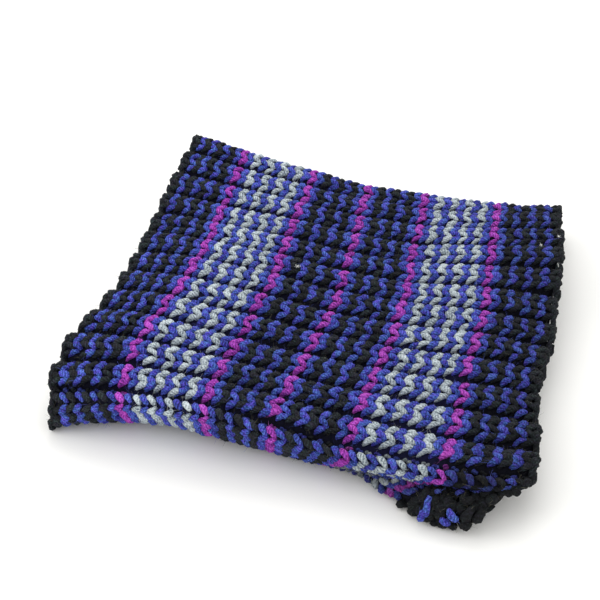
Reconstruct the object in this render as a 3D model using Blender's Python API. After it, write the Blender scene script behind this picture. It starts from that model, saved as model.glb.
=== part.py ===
"""A rib-knit neck tube lying flat, folded double: a ribbed upper layer, an under layer that rests flat,
and the cast-on and bind-off edges that run round its two open ends.

X runs along the ribs from the bind-off end to the cast-on end, Y runs across them from the front fold to
the back fold, and Z is up. The courses (the knitted rows) are numbered from the bind-off end and the ribs
from the back fold, over the top to the front fold and back along the underside.
"""

import bmesh
import bpy
import numpy as np

MM = 0.001

# The knitting, in metres
COURSE = 4.55 * MM
COURSES = 53
RIB_PITCH = 20.3 * MM
RIBS = 26

# The cloth, in metres
WALL = 2.4 * MM
RIB_HEIGHT = 5.0 * MM
SEAM_GAP = 0.3 * MM
EDGE_GAP = 0.5 * MM
EDGE_THICKNESS = 3.0 * MM
EDGE_SWELL = 0.5
EDGE_REACH = COURSE - EDGE_GAP
EDGE_COURSES = 1

# The mesh
COURSES_PER_SECTION = 2.8
PLAIN_STEPS_PER_RIB = 4
EDGE_SIDES = 6

# Height of a rib's surface across its width: (offset from its middle in ribs, share of RIB_HEIGHT)
RIB_PROFILE = (
    (-0.50, 0.00),
    (-0.38, 0.66),
    (-0.21, 1.00),
    (0.00, 0.86),
    (0.21, 1.00),
    (0.38, 0.66),
)

# Rib numbers of the columns in the two tables below
SPOTS = {
    "back": 1.0,
    "shoulder": 2.3,
    "behind": 4.0,
    "middle": 7.0,
    "before": 10.0,
    "brow": 12.0,
    "gully": 12.5,
    "front": 13.0,
    "crease": 13.5,
    "lip": 13.9,
    "heel": 14.4,
    "turn": 15.0,
}

# Height of the cloth's outer face between its ribs, in mm, one row for each section along the tube
HEIGHT_COLUMNS = ("course", *SPOTS)
HEIGHTS = (
    (0, 33.0, 29.5, 26.0, 24.0, 28.0, 22.5, 20.0, 14.5, 8.5, 3.4, 1.2, 0.2),
    (8, 27.0, 25.5, 24.0, 27.0, 30.0, 28.0, 27.0, 22.5, 15.5, 10.0, 6.0, 2.5),
    (18, 19.0, 20.0, 21.0, 24.0, 25.0, 28.0, 28.5, 25.5, 18.5, 12.5, 7.5, 3.0),
    (26, 14.5, 16.0, 17.0, 19.0, 21.0, 25.5, 25.5, 22.5, 15.5, 10.5, 6.5, 2.5),
    (34, 13.5, 15.0, 15.5, 18.0, 19.0, 22.0, 22.0, 19.5, 13.0, 9.0, 5.0, 1.5),
    (41, 14.5, 19.0, 20.5, 19.5, 19.5, 20.5, 21.5, 20.0, 13.5, 9.5, 3.5, 0.5),
    (45, 15.5, 22.0, 23.0, 20.5, 20.0, 20.0, 21.5, 20.0, 14.0, 10.0, 2.5, 0.0),
    (53, 19.5, 26.5, 28.5, 18.0, 19.0, 20.0, 20.5, 18.5, 13.5, 9.5, 2.5, 0.0),
)

# Place of the cloth across the tube at the front fold, and how far the front rib (nose) and the under
# layer (slip) lie along X from the straight course, all in mm
FRONT_COLUMNS = ("course", "brow", "gully", "front", "crease", "lip", "heel", "turn", "nose", "slip")
FRONTS = (
    (0, -100.0, -108.0, -114.5, -117.0, -111.0, -101.0, -89.0, 5.0, 4.0),
    (8, -99.5, -108.0, -114.5, -116.5, -108.0, -99.0, -87.0, 5.0, 4.0),
    (18, -99.5, -108.5, -115.5, -118.5, -110.5, -101.0, -89.0, 2.5, 1.0),
    (26, -101.0, -110.0, -117.0, -119.5, -112.0, -103.0, -90.0, 0.0, -3.0),
    (34, -102.5, -111.5, -118.5, -120.0, -114.0, -106.0, -94.0, 0.0, -10.0),
    (41, -103.0, -111.5, -119.0, -121.0, -118.0, -114.0, -101.0, 0.0, -19.0),
    (45, -103.0, -111.5, -119.0, -121.0, -124.5, -122.0, -108.0, 0.0, -22.0),
    (49, -103.0, -111.5, -119.0, -120.5, -130.0, -128.0, -113.0, 0.0, -22.0),
    (53, -103.0, -111.5, -118.5, -120.0, -127.0, -125.0, -110.0, 0.0, -20.0),
)

# How far each rib's stitches lie along X from the straight course, in mm
BOW = ((0.5, -4.0), (4.0, 0.0), (7.0, 3.5), (10.0, 0.5), (12.0, -1.5), (14.0, 0.0), (26.5, -4.0))

# The under layer rests on the floor from one rib number to another, and its Y at both, in mm
FLAT_FROM = 16.0
FLAT_TO = 26.0
FLAT_FRONT_Y = -74.0
BACK_FOLD_Y = 131.0
BACK_FOLD_REACH = 10.5
BACK_FOLD = 0.5
CREASE = SPOTS["crease"]
CREASE_REACH = 0.6

# Middle of the whole tube as the tables place it, in mm; it is moved to the frame's origin
MIDDLE_X = -0.25
MIDDLE_Y = -0.10

# Share of the nose and of the slip that each rib takes: (rib number, share)
NOSE_SPREAD = ((10.5, 0.0), (12.3, 1.0), (13.2, 1.0), (14.4, 0.0))
SLIP_SPREAD = ((12.4, 0.0), (13.0, 0.05), (13.7, 0.45), (14.4, 0.9), (15.5, 1.0), (17.0, 1.0), (23.0, 0.0))

BLUE = (0.055, 0.060, 0.500, 1.0)
BLACK = (0.011, 0.013, 0.012, 1.0)


def clear_scene():
    """Remove every object from the scene."""
    for item in list(bpy.data.objects):
        bpy.data.objects.remove(item, do_unlink=True)


def column(table, columns, name):
    """One named column of a table, as an array."""
    return np.array([row[columns.index(name)] for row in table], float)


def spline(knots, values, at):
    """A smooth curve through the values at the knots that never overshoots them."""
    knots = np.asarray(knots, float)
    values = np.asarray(values, float)
    steps = np.diff(knots)
    rises = np.diff(values) / steps
    before, after = rises[:-1], rises[1:]
    same_way = before * after > 0
    far, near = steps[:-1] + 2 * steps[1:], 2 * steps[:-1] + steps[1:]
    safe_before = np.where(same_way, before, 1.0)
    safe_after = np.where(same_way, after, 1.0)
    mean = (far + near) / (near / safe_before + far / safe_after)
    slopes = np.concatenate([rises[:1], np.where(same_way, mean, 0.0), rises[-1:]])
    at = np.atleast_1d(np.asarray(at, float))
    left = np.clip(np.searchsorted(knots, at, side="right") - 1, 0, len(steps) - 1)
    t = (at - knots[left]) / steps[left]
    start = values[left] * (2 * t**3 - 3 * t**2 + 1) + values[left + 1] * (3 * t**2 - 2 * t**3)
    lean = slopes[left] * (t**3 - 2 * t**2 + t) + slopes[left + 1] * (t**3 - t**2)
    return start + lean * steps[left]


def at_course(table, columns, course):
    """The named columns of a table, read at any course."""
    courses = column(table, columns, "course")
    return {name: spline(courses, column(table, columns, name), course)[0] for name in columns[1:]}


def back_fold(angle, height):
    """The rib number, and the Y and Z in mm, on the round back fold at an angle from its middle."""
    turn = np.radians(angle)
    y = BACK_FOLD_Y - BACK_FOLD_REACH * (1 - np.cos(turn))
    return BACK_FOLD + angle / 180, y, height / 2 * (1 + np.sin(turn))


def section_knots(course):
    """The rib numbers, and the Y and Z there in mm, that a section of the tube passes through."""
    height = at_course(HEIGHTS, HEIGHT_COLUMNS, course)
    place = at_course(FRONTS, FRONT_COLUMNS, course)
    pitch = RIB_PITCH / MM
    knots = [back_fold(angle, height["back"]) for angle in (0.0, 45.0)]
    for name, rib in SPOTS.items():
        knots.append((rib, place.get(name, (SPOTS["middle"] - rib) * pitch), height[name]))
    flat_back_y = BACK_FOLD_Y - BACK_FOLD_REACH
    for rib in np.arange(FLAT_FROM, FLAT_TO):
        share = (rib - FLAT_FROM) / (FLAT_TO - FLAT_FROM)
        knots.append((rib, FLAT_FRONT_Y + share * (flat_back_y - FLAT_FRONT_Y), 0.0))
    for angle in (-90.0, -45.0, 0.0):
        rib, y, z = back_fold(angle, height["back"])
        knots.append((rib + RIBS, y, z))
    return np.array(knots).T


def closed_spline(ribs, values, at):
    """The spline through a section's knots, carried on past the back fold so that it closes smoothly."""
    around = np.concatenate([ribs[-4:-1] - RIBS, ribs, ribs[1:4] + RIBS])
    closed = np.concatenate([values[-4:-1], values, values[1:4]])
    return spline(around, closed, at)


def slip_at(course, ribs):
    """How far the stitches lie along X from the straight course, in mm."""
    front = at_course(FRONTS, FRONT_COLUMNS, course)
    shift = np.zeros(len(ribs))
    for name, spread in (("nose", NOSE_SPREAD), ("slip", SLIP_SPREAD)):
        spots, shares = np.array(spread).T
        shift += front[name] * spline(spots, shares, np.clip(ribs, spots[0], spots[-1]))
    bow = np.array(BOW)
    return spline(bow[:, 0], bow[:, 1], ribs) + shift


def section(course, ribs):
    """The outer face between the ribs and its outward direction, at rib numbers round one section."""
    knots, ys, zs = section_knots(course)
    step = 0.02
    y = closed_spline(knots, ys, ribs)
    z = np.maximum(closed_spline(knots, zs, ribs), 0.0)
    flat = (ribs >= FLAT_FROM) & (ribs <= FLAT_TO)
    z[flat] = 0.0
    along_y = closed_spline(knots, ys, ribs + step) - closed_spline(knots, ys, ribs - step)
    along_z = closed_spline(knots, zs, ribs + step) - closed_spline(knots, zs, ribs - step)
    along_z[flat] = 0.0
    length = np.hypot(along_y, along_z)
    outward = np.stack([np.zeros(len(ribs)), along_z / length, -along_y / length], axis=1)
    x = (course - COURSES / 2) * COURSE / MM + slip_at(course, ribs)
    return np.stack([x - MIDDLE_X, y - MIDDLE_Y, z], axis=1) * MM, outward


def relief(ribs, points, outward):
    """How far the ribs stand out: nothing where the cloth rests on the floor."""
    offsets = (ribs + 0.5) % 1.0 - 0.5
    profile = np.array(RIB_PROFILE + ((0.50, 0.00),))
    height = RIB_HEIGHT * np.interp(offsets, profile[:, 0], profile[:, 1])
    height *= np.clip(np.abs(ribs - CREASE) / CREASE_REACH, 0.0, 1.0)
    down = np.maximum(-outward[:, 2], 0.0)
    room = points[:, 2] / np.maximum(down * 1.3, 0.05)
    return np.minimum(height, room)


def rib_stations(first, last, offsets):
    """Rib numbers from first to last, with a point at each offset from each rib's middle."""
    stations = [rib + offset for rib in range(0, RIBS + 2) for offset in offsets]
    inside = [s for s in stations if first + 0.02 < s < last - 0.02]
    return np.array([first, *inside, last])


def skin_faces(rows, columns, start, flip):
    """Quads over a grid of points that is rows by columns, numbered from start."""
    faces = []
    for i in range(rows - 1):
        for j in range(columns - 1):
            a = start + i * columns + j
            quad = (a, a + 1, a + columns + 1, a + columns)
            faces.append(tuple(reversed(quad)) if flip else quad)
    return faces


def layer_mesh(name, ribs):
    """One layer of the tube between two rib numbers: a ribbed outer face over a plain inner one."""
    count = int(round(COURSES / COURSES_PER_SECTION)) + 1
    courses = np.linspace(EDGE_COURSES, COURSES - EDGE_COURSES, count)
    outer, inner = [], []
    for course in courses:
        points, outward = section(course, ribs)
        height = relief(ribs, points, outward)
        for end, sign in ((0, 1.0), (-1, -1.0)):
            along = np.array([0.0, -outward[end, 2], outward[end, 1]])
            points[end] += along * (sign * SEAM_GAP / 2)
        outer.append(points + outward * height[:, None])
        inner.append(points - outward * WALL)
    rows, columns = len(courses), len(ribs)
    points = np.concatenate([np.concatenate(outer), np.concatenate(inner)])
    half = rows * columns
    faces = skin_faces(rows, columns, 0, flip=True)
    faces += skin_faces(rows, columns, half, flip=False)
    for j in range(columns - 1):
        near = (j, j + 1, half + j + 1, half + j)
        far_start = (rows - 1) * columns
        far = tuple(reversed([far_start + k for k in near]))
        faces += [near, far]
    for i in range(rows - 1):
        a = i * columns
        side = (a, half + a, half + a + columns, a + columns)
        other = tuple(reversed([k + columns - 1 for k in side]))
        faces += [side, other]
    return mesh_object(name, points, faces)


def edge_mesh(name, course, direction, ribs):
    """The rolled edge round one open end, a closed ring that follows the wall and its ribs."""
    points, outward = section(course, ribs)
    height = relief(ribs, points, outward)
    middle = points + outward * (0.4 * height - EDGE_THICKNESS / 2 - SEAM_GAP)[:, None]
    run = np.roll(middle, -1, axis=0) - np.roll(middle, 1, axis=0)
    slant = np.sqrt(1.0 + run[:, 0] ** 2 / (run[:, 1] ** 2 + run[:, 2] ** 2))
    middle[:, 0] += direction * (EDGE_GAP * slant + EDGE_REACH / 2)
    thickness = EDGE_THICKNESS + EDGE_SWELL * height
    rings = []
    for k in range(EDGE_SIDES):
        angle = 2 * np.pi * k / EDGE_SIDES
        across = outward * (thickness[:, None] / 2 * np.sin(angle))
        along = np.array([direction * EDGE_REACH / 2 * np.cos(angle), 0.0, 0.0])
        rings.append(middle + across + along)
    count = len(ribs)
    faces = []
    for k in range(EDGE_SIDES):
        for j in range(count):
            a, b = k * count + j, k * count + (j + 1) % count
            c, d = ((k + 1) % EDGE_SIDES) * count + (j + 1) % count, ((k + 1) % EDGE_SIDES) * count + j
            faces.append((a, b, c, d) if direction > 0 else (d, c, b, a))
    return mesh_object(name, np.concatenate(rings), faces)


def mesh_object(name, points, faces):
    """An object of triangles, with its faces pointing out."""
    mesh = bpy.data.meshes.new(name)
    mesh.from_pydata([tuple(p) for p in points], [], faces)
    work = bmesh.new()
    work.from_mesh(mesh)
    bmesh.ops.triangulate(work, faces=work.faces[:])
    bmesh.ops.recalc_face_normals(work, faces=work.faces[:])
    work.to_mesh(mesh)
    work.free()
    mesh.shade_smooth()
    item = bpy.data.objects.new(name, mesh)
    bpy.context.scene.collection.objects.link(item)
    return item


def yarn_material(name, colour):
    """Matt woollen yarn of one colour."""
    material = bpy.data.materials.new(name)
    material.use_nodes = True
    shader = material.node_tree.nodes["Principled BSDF"]
    shader.inputs["Base Color"].default_value = colour
    shader.inputs["Roughness"].default_value = 0.95
    shader.inputs["Metallic"].default_value = 0.0
    return material


def build():
    """Make the two layers and the two edges."""
    clear_scene()
    ribbed = tuple(offset for offset, _ in RIB_PROFILE)
    plain = tuple(k / PLAIN_STEPS_PER_RIB - 0.5 for k in range(PLAIN_STEPS_PER_RIB))
    over = rib_stations(BACK_FOLD, CREASE, ribbed)
    under = rib_stations(CREASE, BACK_FOLD + RIBS, plain)
    around = np.concatenate([over, under[1:-1]])
    pieces = (
        (layer_mesh("upper_layer", over), "upper_yarn", BLUE),
        (layer_mesh("under_layer", under), "under_yarn", BLUE),
        (edge_mesh("cast_on_edge", COURSES - EDGE_COURSES, 1, around), "cast_on_yarn", BLACK),
        (edge_mesh("bind_off_edge", EDGE_COURSES, -1, around), "bind_off_yarn", BLACK),
    )
    for item, material_name, colour in pieces:
        item.data.materials.append(yarn_material(material_name, colour))


build()
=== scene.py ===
"""A striped rib-knit neck tube lying flat, folded double, on a pale surface."""

import logging
import math
from dataclasses import dataclass, field, replace
from enum import Enum
from typing import Iterable, Sequence

import bmesh
import bpy
import numpy as np
from mathutils import Matrix, Vector


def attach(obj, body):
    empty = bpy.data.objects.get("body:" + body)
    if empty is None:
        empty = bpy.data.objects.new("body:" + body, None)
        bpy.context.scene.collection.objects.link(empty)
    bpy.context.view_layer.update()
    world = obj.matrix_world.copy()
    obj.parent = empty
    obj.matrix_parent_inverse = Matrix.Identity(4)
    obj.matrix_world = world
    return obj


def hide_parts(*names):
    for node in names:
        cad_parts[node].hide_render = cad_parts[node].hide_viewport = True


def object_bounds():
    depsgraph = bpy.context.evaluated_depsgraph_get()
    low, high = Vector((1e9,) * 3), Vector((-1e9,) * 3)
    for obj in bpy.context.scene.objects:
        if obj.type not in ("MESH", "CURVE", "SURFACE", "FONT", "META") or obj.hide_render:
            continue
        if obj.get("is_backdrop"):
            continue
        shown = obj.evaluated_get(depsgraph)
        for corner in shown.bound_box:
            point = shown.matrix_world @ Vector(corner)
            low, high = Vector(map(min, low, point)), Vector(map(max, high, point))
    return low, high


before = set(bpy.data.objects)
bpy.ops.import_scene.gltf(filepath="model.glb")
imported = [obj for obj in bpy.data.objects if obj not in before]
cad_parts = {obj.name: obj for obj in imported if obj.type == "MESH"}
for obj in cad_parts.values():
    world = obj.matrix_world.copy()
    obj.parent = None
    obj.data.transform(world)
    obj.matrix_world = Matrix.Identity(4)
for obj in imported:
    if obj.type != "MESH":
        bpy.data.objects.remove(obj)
CAD_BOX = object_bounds()

log = logging.getLogger("neck_tube")

MM = 0.001
TURN = 2 * math.pi

# The last place on a grid that still has a next point, counted back from the grid's length
LAST_SPAN = 1.001

# How far over the floor the yarn and its fibres end
FLOOR_GAP = 0.1 * MM

# How far apart the patterns of a form's copies can start
PATTERN_SPREAD = 7.0

Array = np.ndarray
Item = bpy.types.Object
Material = bpy.types.Material
Socket = bpy.types.NodeSocket
Inputs = dict[str | int, object]
Row = tuple[float, ...]
Table = tuple[Row, ...]
MeshData = tuple[Array, list[tuple[int, ...]], list[tuple[float, float]]]


class Yarn(Enum):
    """The yarn colours in the tube."""

    BLUE = "blue"
    BLACK = "black"
    MAGENTA = "magenta"
    GREY = "grey"


# Colour of every second row from the bind-off end; the rows between them are all blue
FEATURE_ROWS: list[Yarn] = (
    [Yarn.BLACK] * 4 + [Yarn.MAGENTA] + [Yarn.GREY] * 4 + [Yarn.MAGENTA]
    + ([Yarn.BLACK] * 3 + [Yarn.MAGENTA]) * 2
    + [Yarn.GREY] * 4 + [Yarn.MAGENTA] + [Yarn.BLACK] * 4
)


def row_yarn(row: int) -> Yarn:
    """Tell which yarn a row, counted from the bind-off end, is knitted in."""
    return Yarn.BLUE if row % 2 else FEATURE_ROWS[row // 2]


@dataclass(frozen=True)
class Gauge:
    """Sizes of the knitting, in metres."""

    course: float = 4.55 * MM
    courses: int = 53
    rib_pitch: float = 20.3 * MM
    ribs: int = 26
    rib_height: float = 5.0 * MM


@dataclass(frozen=True)
class Lie:
    """How the tube lies: tables of its sections in mm, and the spots in ribs that their columns stand at."""

    spots: tuple[tuple[str, float], ...] = (
        ("back", 1), ("shoulder", 2.3), ("behind", 4), ("middle", 7), ("before", 10), ("brow", 12),
        ("gully", 12.5), ("front", 13), ("crease", 13.5), ("lip", 13.9), ("heel", 14.4), ("turn", 15),
    )
    # Course, then the height at each spot
    heights: Table = (
        (0, 38.3, 33.3, 28, 25.2, 29.2, 22.8, 20, 14.5, 8.5, 3.4, 1.2, 0.2),
        (8, 29.5, 27, 24.5, 27, 30, 28, 27, 23, 16.5, 11, 6, 2.5),
        (13, 24.8, 24, 22.8, 25.5, 27.4, 28, 28, 24.8, 20, 14.8, 8.8, 3.2),
        (18, 21.2, 21.7, 21.5, 24, 25, 28, 28.5, 25.5, 18.5, 12.5, 7.5, 3),
        (26, 15.9, 17.4, 17.8, 19, 21, 25.5, 25.5, 22.5, 15.5, 10.5, 6.5, 2.5),
        (34, 14.8, 16.3, 16.2, 18, 19, 22, 22, 19.5, 13, 9, 5, 1.5),
        (41, 14.5, 19, 20.5, 19.5, 19.5, 20.5, 21.5, 20, 13.5, 9.5, 3.5, 0.5),
        (45, 15.5, 22, 23, 20.5, 20, 20, 21.5, 20, 14, 10, 2.5, 0),
        (53, 19.5, 26.5, 28.5, 18, 19, 20, 20.5, 18.5, 13.5, 9.5, 2.5, 0),
    )
    # Course, then Y at each spot round the front fold, and how far the nose and the slipped layer lie along X
    front_columns: tuple[str, ...] = (
        "brow", "gully", "front", "crease", "lip", "heel", "turn", "nose", "slip",
    )
    fronts: Table = (
        (0, -100, -108, -114.5, -119.5, -115.5, -104, -89, 5, 4),
        (3, -100, -108, -114.5, -117.5, -110.5, -100.5, -88, 5, 4),
        (8, -99.5, -108, -113.5, -114.5, -106.5, -98, -87, 5, 4),
        (18, -99.5, -108.5, -113.5, -114.5, -107.5, -99, -89, 2.5, 1),
        (26, -101, -110, -115, -116, -109, -101, -90, 0, -5),
        (34, -102.5, -111.5, -116.5, -116.5, -108.5, -102, -92.5, 0, -16),
        (40, -103, -111.5, -118.3, -118, -110.5, -104.5, -94.5, 0, -27.5),
        (43, -103, -111.5, -118.8, -119, -116.5, -111.5, -99, 0, -31),
        (46, -103, -111.5, -119, -119.3, -120.5, -117.5, -104, 0, -33),
        (49, -102.5, -110.8, -118, -118.2, -127, -124.5, -110.5, 0, -34),
        (53, -101, -108, -112.5, -114.5, -125.5, -124, -110, 0, -34),
    )
    # Rib, then how far the whole rib lies along X
    bow: Table = (
        (0.5, -4), (4, 0), (7, 3.5), (10, 0.5), (12, -1.5), (14, 0), (26.5, -4),
    )
    # Rib, then its share in the nose and in the slip
    nose_spread: Table = ((10.5, 0), (12.3, 1), (13.2, 1), (14.4, 0))
    slip_spread: Table = (
        (12.4, 0), (13, 0.05), (13.7, 0.45), (14.4, 0.9), (15.5, 1), (17, 1), (23, 0),
    )
    # Rib, then how far its bind-off end and its cast-on end lie along X
    ends: Table = (
        (0.5, 6, -2), (1, 6, -2.5), (2, 4.5, -3), (3, 3, -2.2), (4, 2.5, -2.4),
        (5, 3, -3.5), (6, 2.5, -4.6), (7, 3, -4.4), (8, 5, -6), (9, 7, -5.5),
        (10, 5, -3.8), (11, 0.5, 0.2), (12, -0.5, 1.2), (13, 2.5, -1), (13.4, 1.6, -2),
        (13.8, 1, -1.5), (14.5, 0.6, 1), (16, 0.4, 0.5), (22, 0, 0), (26.5, 6, -2),
    )
    end_reach: tuple[float, float] = (10, 13)
    fold_rib: int = 13
    # Course, then how far the fold's rib rolls forward, in ribs
    fold_turns: Table = ((0, -0.02), (20, -0.02), (36, 0.12), (53, 0.12))
    # Rib, then how much narrower than usual it is at the bind-off end, in the middle and at the cast-on end
    furrows: Table = (
        (0, 1, 1, 1), (1, 1.02, 0.99, 1.01), (2, 0.99, 1.02, 1), (3, 1.04, 1, 1.02),
        (4, 1, 1, 1.01), (5, 0.92, 1.02, 1.04), (6, 1.05, 1, 1), (7, 1, 1.04, 1.01),
        (8, 1.06, 1, 1.04), (9, 1.02, 1.04, 1), (10, 1.05, 1, 1.03), (11, 1.06, 1.03, 1.05),
        (12, 1, 1.08, 1.12), (13, 1, 1, 1), (26, 1, 1, 1),
    )
    flat_from: float = 16.0
    flat_to: float = 26.0
    flat_front_y: float = -74.0
    back_fold_y: float = 131.0
    back_fold_reach: float = 10.5
    back_fold: float = 0.5
    crease: float = 13.5
    crease_reach: float = 0.6
    crease_relief: float = 0.35
    # Course, then the ribs' height near the bind-off end
    end_relief: Table = ((0, 0.68), (4, 1))
    # How much more room than the ribs' own height they keep over the floor, and the least slope that counts
    floor_room: float = 1.3
    least_slope: float = 0.05
    middle_x: float = -0.25
    middle_y: float = -0.10


# Height of a rib across its width: (offset from its middle in ribs, share of the rib's height)
RIB_SHAPE: Table = (
    (-0.5, -0.62), (-0.45, -0.54), (-0.41, -0.22), (-0.36, 0.26), (-0.3, 0.62),
    (-0.22, 0.84), (-0.11, 0.97), (0, 1), (0.11, 0.96), (0.2, 0.81),
    (0.27, 0.56), (0.33, 0.18), (0.37, -0.2), (0.42, -0.54), (0.5, -0.62),
)


def read_table(table: Sequence[Row], at: Array | float) -> Array:
    """Read a table of places and values, in straight lines between its rows."""
    return np.interp(at, *np.array(table, float).T)


def spline(knots: Sequence[float], values: Sequence[float], at: Array | float) -> Array:
    """Run a smooth curve through the values at the knots that never overshoots them.

    Args:
        knots: Rising places.
        values: A value at each knot.
        at: Places to read the curve at.

    Returns:
        The curve's values.
    """
    knots = np.asarray(knots, float)
    values = np.asarray(values, float)
    steps = np.diff(knots)
    rises = np.diff(values) / steps
    before, after = rises[:-1], rises[1:]
    same_way = before * after > 0
    far, near = steps[:-1] + 2 * steps[1:], 2 * steps[:-1] + steps[1:]
    safe_before = np.where(same_way, before, 1)
    safe_after = np.where(same_way, after, 1)
    mean = (far + near) / (near / safe_before + far / safe_after)
    slopes = np.concatenate([rises[:1], np.where(same_way, mean, 0), rises[-1:]])
    at = np.atleast_1d(np.asarray(at, float))
    left = np.clip(np.searchsorted(knots, at, side="right") - 1, 0, len(steps) - 1)
    t = (at - knots[left]) / steps[left]
    start = values[left] * (2 * t**3 - 3 * t**2 + 1) + values[left + 1] * (3 * t**2 - 2 * t**3)
    lean = slopes[left] * (t**3 - 2 * t**2 + t) + slopes[left + 1] * (t**3 - t**2)
    return start + lean * steps[left]


def unit(vectors: Array) -> Array:
    """Scale vectors, which lie along the last axis, to length one."""
    return vectors / np.maximum(np.linalg.norm(vectors, axis=-1, keepdims=True), 1e-12)


def show(name: str, mesh: bpy.types.Mesh, material: Material) -> Item:
    """Put a mesh in the scene.

    Args:
        name: The object's name.
        mesh: Its mesh.
        material: Its material.

    Returns:
        The object.
    """
    mesh.materials.append(material)
    item = bpy.data.objects.new(name, mesh)
    bpy.context.scene.collection.objects.link(item)
    return item


@dataclass
class Cloth:
    """The tube's surface, read by course and rib number.

    Courses count from the bind-off end. Ribs count from the back fold, over the top to the front fold and
    back along the underside.
    """

    gauge: Gauge
    lie: Lie
    course_step: float = 0.25
    course_margin: float = 1.5
    rib_step: float = 0.04
    rib_margins: tuple[float, float] = (0.4, 1.4)
    slope_step: float = 0.02
    courses: Array = field(init=False)
    ribs: Array = field(init=False)
    base: Array = field(init=False)
    outward: Array = field(init=False)
    relief: Array = field(init=False)
    normal: Array = field(init=False)

    def __post_init__(self) -> None:
        """Read the tables on a fine grid of courses and ribs."""
        gauge, (before, after), slack = self.gauge, self.rib_margins, 0.01
        last = gauge.courses + self.course_margin + slack
        self.courses = np.arange(-self.course_margin, last, self.course_step)
        self.ribs = np.arange(-before, gauge.ribs + after + slack, self.rib_step)
        rows = [self.section(course) for course in self.courses]
        self.base, self.outward, self.relief = (np.stack(parts) for parts in zip(*rows))
        skin = self.base + self.outward * self.relief[..., None]
        normal = unit(np.cross(np.gradient(skin, axis=0), np.gradient(skin, axis=1)))
        sign = np.sign(np.sum(normal * self.outward, axis=-1, keepdims=True))
        self.normal = normal * np.where(sign == 0, 1, sign)

    def table(self, rows: Sequence[Row], names: Sequence[str], course: float) -> dict[str, float]:
        """Read the named columns of a table, which has the course first in each row, at a course."""
        (places, *columns), at = np.array(rows, float).T, np.clip(course, 0, self.gauge.courses)
        return {name: float(spline(places, column, at)[0]) for name, column in zip(names, columns)}

    def back_fold(self, angle: float, height: float) -> Row:
        """Place a point on the round back fold.

        Args:
            angle: Degrees from the fold's middle, upwards.
            height: Height of the cloth over the fold, in mm.

        Returns:
            Rib number, Y and Z in mm.
        """
        turn = math.radians(angle)
        y = self.lie.back_fold_y - self.lie.back_fold_reach * (1 - math.cos(turn))
        return self.lie.back_fold + angle / 180, y, height / 2 * (1 + math.sin(turn))

    def knots(self, course: float) -> Array:
        """Find the points that a section of the tube passes through.

        Args:
            course: The section's course.

        Returns:
            Rib numbers, Y and Z in mm, as three rows.
        """
        lie = self.lie
        height = self.table(lie.heights, [name for name, _ in lie.spots], course)
        place = self.table(lie.fronts, lie.front_columns, course)
        pitch = self.gauge.rib_pitch / MM
        middle = dict(lie.spots)["middle"]
        knots = [self.back_fold(angle, height["back"]) for angle in (0, 45)]
        for name, rib in lie.spots:
            knots.append((rib, place.get(name, (middle - rib) * pitch), height[name]))
        flat_back_y = lie.back_fold_y - lie.back_fold_reach
        for rib in np.arange(lie.flat_from, lie.flat_to):
            share = (rib - lie.flat_from) / (lie.flat_to - lie.flat_from)
            knots.append((rib, lie.flat_front_y + share * (flat_back_y - lie.flat_front_y), 0))
        for angle in (-90, -45, 0):
            rib, y, z = self.back_fold(angle, height["back"])
            knots.append((rib + self.gauge.ribs, y, z))
        return np.array(knots).T

    def closed(self, ribs: Array, values: Array, at: Array) -> Array:
        """Read a section's curve through values at its knots, closed smoothly at the back fold."""
        around = np.concatenate([ribs[-5:-1] - self.gauge.ribs, ribs, ribs[1:5] + self.gauge.ribs])
        return spline(around, np.concatenate([values[-5:-1], values, values[1:5]]), at)

    def shift(self, course: float, ribs: Array) -> Array:
        """Find how far the stitches lie along X from the straight course.

        Args:
            course: The course.
            ribs: Rib numbers.

        Returns:
            The shift in mm at each rib.
        """
        lie = self.lie
        front = self.table(lie.fronts, lie.front_columns, course)
        turned = np.where(ribs < lie.back_fold, ribs + self.gauge.ribs, ribs)
        turned = np.where(turned > lie.back_fold + self.gauge.ribs, turned - self.gauge.ribs, turned)
        total = spline(*np.array(lie.bow).T, turned)
        for name, spread in (("nose", lie.nose_spread), ("slip", lie.slip_spread)):
            spots, shares = np.array(spread).T
            total = total + front[name] * spline(spots, shares, np.clip(turned, spots[0], spots[-1]))
        spots, *moves = np.array(lie.ends).T
        for move, way, reach in zip(moves, (course, self.gauge.courses - course), lie.end_reach):
            total = total + spline(spots, move, turned) * np.clip(1.0 - way / reach, 0, 1)
        return total

    def fold_turn(self, course: Array | float) -> Array:
        """Tell how far, in ribs, the rib on the front fold rolls forward."""
        return read_table(self.lie.fold_turns, course)

    def narrowed(self, course: Array | float, ribs: Array) -> Array:
        """Tell how much narrower a rib is than usual, so that the furrow beside it is wider.

        Args:
            course: Courses.
            ribs: Rib numbers of the same shape.

        Returns:
            What the offset from the rib's middle is divided by.
        """
        number, *columns = np.array(self.lie.furrows).T
        left, middle, right = (np.interp(np.floor(ribs), number, column) for column in columns)
        half = self.gauge.courses / 2
        low = left + (middle - left) * np.clip(course / half, 0, 1)
        high = middle + (right - middle) * np.clip(course / half - 1, 0, 1)
        return np.where(course < half, low, high)

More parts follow.
